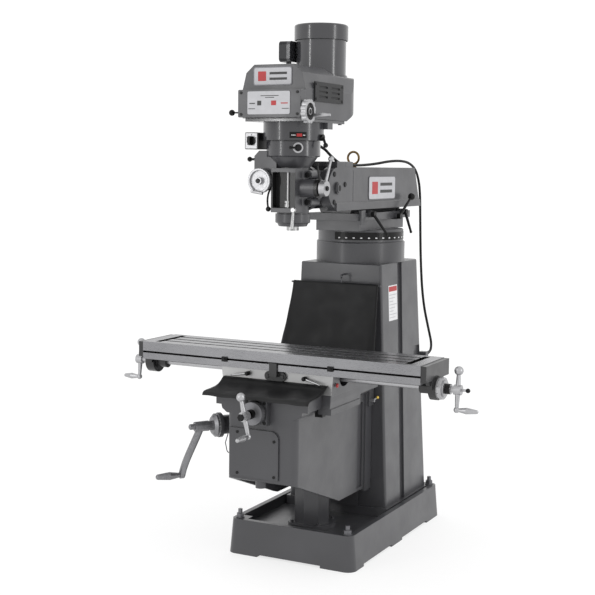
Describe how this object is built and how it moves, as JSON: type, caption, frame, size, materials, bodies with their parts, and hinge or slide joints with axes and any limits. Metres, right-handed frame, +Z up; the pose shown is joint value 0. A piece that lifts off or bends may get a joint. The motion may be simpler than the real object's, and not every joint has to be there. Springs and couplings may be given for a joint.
{
  "type": "vertical milling machine",
  "caption": "Knee-type vertical turret mill: base, column, knee, saddle, slotted table, sliding ram and a tilting, nodding head with quill, belt housing and motor.",
  "frame": {"origin": "centre of the base's underside, on the floor", "axes": "+Z up, -Y towards the operator, +X to the operator's right along the table"},
  "size_m": [1.644, 1.5933, 2.2551],
  "materials": {
    "grey_paint": "semi-gloss",
    "dark_paint": "semi-gloss",
    "ground_steel": "ground",
    "steel": "oiled",
    "satin_steel": "satin",
    "black_plastic": "gloss",
    "black_rubber": "matt",
    "brass": "plated"
  },
  "bodies": {
    "frame": {"base_casting": "grey_paint", "levelling_bolts": "steel", "screw_pedestal": "dark_paint", "column_casting": "grey_paint", "column_rear_door": "grey_paint", "rear_way_cover": "black_rubber", "cable_drop": "black_rubber"},
    "knee": {"knee_casting": "grey_paint", "knee_front_cover": "ground_steel", "cross_feed_bracket": "dark_paint", "elevating_bracket": "dark_paint"},
    "elevating_screw": {"elevating_screw": "steel"},
    "elevating_crank": {"elevating_crank": "satin_steel"},
    "knee_lock_lever": {"knee_lock_lever": "steel"},
    "cross_feed_screw": {"cross_feed_screw": "satin_steel"},
    "saddle": {"saddle_casting": "ground_steel", "table_stop_bracket": "steel", "front_way_cover": "black_rubber", "saddle_rear_cover": "black_rubber"},
    "table_lock_lever_left": {"table_lock_lever_left": "satin_steel"},
    "table_lock_lever_right": {"table_lock_lever_right": "satin_steel"},
    "table": {"table_slab": "ground_steel", "table_end_brackets": "dark_paint", "table_stop_dogs": "steel"},
    "table_screw": {"table_screw": "satin_steel"},
    "turret": {"turret_casting": "grey_paint"},
    "ram_clamp_lever_front": {"ram_clamp_lever_front": "satin_steel"},
    "ram_clamp_lever_rear": {"ram_clamp_lever_rear": "satin_steel"},
    "ram_feed_lever": {"ram_feed_lever": "black_plastic"},
    "ram": {"ram_casting": "grey_paint", "nod_pin": "steel", "eyebolt": "brass", "cable_ram": "black_rubber"},
    "adapter": {"adapter_casting": "grey_paint", "cable_front": "black_rubber"},
    "head": {"head_casting": "grey_paint", "gear_housing": "grey_paint", "belt_housing": "grey_paint", "speed_panel": "grey_paint", "motor_body": "grey_paint", "fan_cowl": "dark_paint", "drum_switch": "dark_paint", "drive_belt": "black_rubber", "cable_head": "black_rubber"},
    "depth_stop_nuts": {"depth_stop_nuts": "steel"},
    "drum_switch_knob": {"drum_switch_knob": "black_plastic"},
    "motor_rotor": {"motor_rotor": "steel"},
    "spindle_pulley": {"spindle_pulley": "steel"},
    "quill": {"quill": "ground_steel"},
    "spindle": {"spindle": "ground_steel"},
    "quill_feed_lever": {"quill_feed_lever": "satin_steel"},
    "feed_trip_lever": {"feed_trip_lever": "steel"},
    "quill_lock_lever": {"quill_lock_lever": "satin_steel"},
    "feed_handwheel": {"feed_handwheel": "satin_steel"},
    "feed_reverse_lever": {"feed_reverse_lever": "black_plastic"},
    "feed_engage_lever": {"feed_engage_lever": "black_plastic"},
    "range_lever": {"range_lever": "steel"},
    "back_gear_lever": {"back_gear_lever": "black_plastic"},
    "brake_lever": {"brake_lever": "black_plastic"},
    "speed_handwheel": {"speed_handwheel": "black_plastic"}
  },
  "joints": [
    {"name": "knee_lift", "type": "slide", "parent": "frame", "child": "knee", "axis": [0, 0, 1], "range_m": [0, 0.38], "deforming": ["rear_way_cover"]},
    {"name": "elevating_screw_turn", "type": "hinge", "parent": "knee", "child": "elevating_screw", "pos_m": [0, -0.28, 0.4], "axis": [0, 0, 1], "range_deg": [0, 27000]},
    {"name": "elevating_crank_turn", "type": "hinge", "parent": "knee", "child": "elevating_crank", "pos_m": [-0.284, -0.634, 0.584], "axis": [-0.6258, -0.78, 0], "range_deg": [0, 54000]},
    {"name": "knee_lock_swing", "type": "hinge", "parent": "knee", "child": "knee_lock_lever", "pos_m": [0.186, -0.066, 0.64], "axis": [1, 0, 0], "range_deg": [-60, 60]},
    {"name": "saddle_cross", "type": "slide", "parent": "knee", "child": "saddle", "axis": [0, 1, 0], "range_m": [-0.165, 0.235], "deforming": ["front_way_cover", "saddle_rear_cover"]},
    {"name": "cross_feed_turn", "type": "hinge", "parent": "knee", "child": "cross_feed_screw", "pos_m": [-0.012, -0.8, 0.69], "axis": [0, 1, 0], "range_deg": [-11700, 16700]},
    {"name": "table_lock_swing_left", "type": "hinge", "parent": "saddle", "child": "table_lock_lever_left", "pos_m": [-0.128, -0.63, 0.817], "axis": [0, 1, 0], "range_deg": [-34, 15]},
    {"name": "table_lock_swing_right", "type": "hinge", "parent": "saddle", "child": "table_lock_lever_right", "pos_m": [0.133, -0.63, 0.817], "axis": [0, 1, 0], "range_deg": [-15, 34]},
    {"name": "table_long", "type": "slide", "parent": "saddle", "child": "table", "axis": [1, 0, 0], "range_m": [-0.225, 0.199]},
    {"name": "table_screw_turn", "type": "hinge", "parent": "table", "child": "table_screw", "pos_m": [0, -0.521, 0.812], "axis": [1, 0, 0], "range_deg": [-15960, 14120]},
    {"name": "turret_swivel", "type": "hinge", "parent": "frame", "child": "turret", "pos_m": [0, 0.187, 1.35], "axis": [0, 0, 1], "range_deg": [-180, 180]},
    {"name": "ram_clamp_swing_front", "type": "hinge", "parent": "turret", "child": "ram_clamp_lever_front", "pos_m": [0.14, -0.002, 1.458], "axis": [1, 0, 0], "range_deg": [-45, 45]},
    {"name": "ram_clamp_swing_rear", "type": "hinge", "parent": "turret", "child": "ram_clamp_lever_rear", "pos_m": [0.14, 0.366, 1.458], "axis": [1, 0, 0], "range_deg": [-30, 45]},
    {"name": "ram_lever_swing", "type": "hinge", "parent": "turret", "child": "ram_feed_lever", "pos_m": [0.14, 0.297, 1.44], "axis": [1, 0, 0], "range_deg": [0, 140]},
    {"name": "ram_slide", "type": "slide", "parent": "turret", "child": "ram", "axis": [0, -1, 0], "range_m": [-0.295, 0.125], "deforming": ["cable_drop"]},
    {"name": "nod", "type": "hinge", "parent": "ram", "child": "adapter", "pos_m": [0, -0.325, 1.575], "axis": [1, 0, 0], "range_deg": [-35, 45], "deforming": ["cable_ram"]},
    {"name": "tilt", "type": "hinge", "parent": "adapter", "child": "head", "pos_m": [0, -0.424, 1.575], "axis": [0, 1, 0], "range_deg": [-90, 90], "deforming": ["cable_head", "cable_front"]},
    {"name": "depth_stop_slide", "type": "slide", "parent": "head", "child": "depth_stop_nuts", "axis": [0, 0, 1], "range_m": [0, 0.11]},
    {"name": "motor_spin", "type": "hinge", "parent": "head", "child": "motor_rotor", "pos_m": [0, -0.25, 2.1], "axis": [0, 0, 1], "continuous": true},
    {"name": "spindle_pulley_spin", "type": "hinge", "parent": "head", "child": "spindle_pulley", "pos_m": [0, -0.494, 1.94], "axis": [0, 0, 1], "continuous": true},
    {"name": "quill_travel", "type": "slide", "parent": "head", "child": "quill", "axis": [0, 0, -1], "range_m": [0, 0.127]},
    {"name": "spindle_spin", "type": "hinge", "parent": "quill", "child": "spindle", "pos_m": [0, -0.494, 1.5], "axis": [0, 0, 1], "continuous": true},
    {"name": "quill_feed_turn", "type": "hinge", "parent": "head", "child": "quill_feed_lever", "pos_m": [0.1, -0.532, 1.577], "axis": [1, 0, 0], "range_deg": [0, 348]},
    {"name": "feed_trip_swing", "type": "hinge", "parent": "head", "child": "feed_trip_lever", "pos_m": [0.146, -0.532, 1.577], "axis": [1, 0, 0], "range_deg": [-25, 25]},
    {"name": "quill_lock_swing", "type": "hinge", "parent": "head", "child": "quill_lock_lever", "pos_m": [0.055, -0.59, 1.49], "axis": [0, 1, 0], "range_deg": [-45, 60]},
    {"name": "feed_handwheel_turn", "type": "hinge", "parent": "head", "child": "feed_handwheel", "pos_m": [-0.099, -0.55, 1.604], "axis": [0, 1, 0], "continuous": true},
    {"name": "feed_reverse_swing", "type": "hinge", "parent": "head", "child": "feed_reverse_lever", "pos_m": [-0.06, -0.57, 1.578], "axis": [0, 1, 0], "range_deg": [0, 25]},
    {"name": "feed_engage_pull", "type": "slide", "parent": "head", "child": "feed_engage_lever", "axis": [-1, 0, 0], "range_m": [0, 0.012]},
    {"name": "range_lever_swing", "type": "hinge", "parent": "head", "child": "range_lever", "pos_m": [0.0662, -0.5823, 1.738], "axis": [0.6, -0.8, 0], "range_deg": [-60, 60]},
    {"name": "back_gear_swing", "type": "hinge", "parent": "head", "child": "back_gear_lever", "pos_m": [0.13, -0.494, 1.78], "axis": [1, 0, 0], "range_deg": [-40, 40]},
    {"name": "brake_swing", "type": "hinge", "parent": "head", "child": "brake_lever", "pos_m": [-0.15, -0.6, 1.878], "axis": [0, 0, 1], "range_deg": [-20, 20]},
    {"name": "drum_switch_turn", "type": "hinge", "parent": "head", "child": "drum_switch_knob", "pos_m": [-0.158, -0.57, 1.766], "axis": [0, 1, 0], "range_deg": [-60, 60]},
    {"name": "speed_wheel_turn", "type": "hinge", "parent": "head", "child": "speed_handwheel", "pos_m": [0.14, -0.69, 1.876], "axis": [1, 0, 0], "continuous": true}
  ],
  "couplings": [
    {"joint": "elevating_screw_turn", "follows": "knee_lift", "rad_per_m": 1236.8},
    {"joint": "elevating_crank_turn", "follows": "knee_lift", "rad_per_m": 2473.7},
    {"joint": "cross_feed_turn", "follows": "saddle_cross", "rad_per_m": 1236.8},
    {"joint": "table_screw_turn", "follows": "table_long", "rad_per_m": 1236.8},
    {"joint": "quill_feed_turn", "follows": "quill_travel", "rad_per_m": 47.6},
    {"joint": "spindle_pulley_spin", "follows": "motor_spin", "ratio": 0.682},
    {"joint": "spindle_spin", "follows": "motor_spin", "ratio": 0.682}
  ]
}
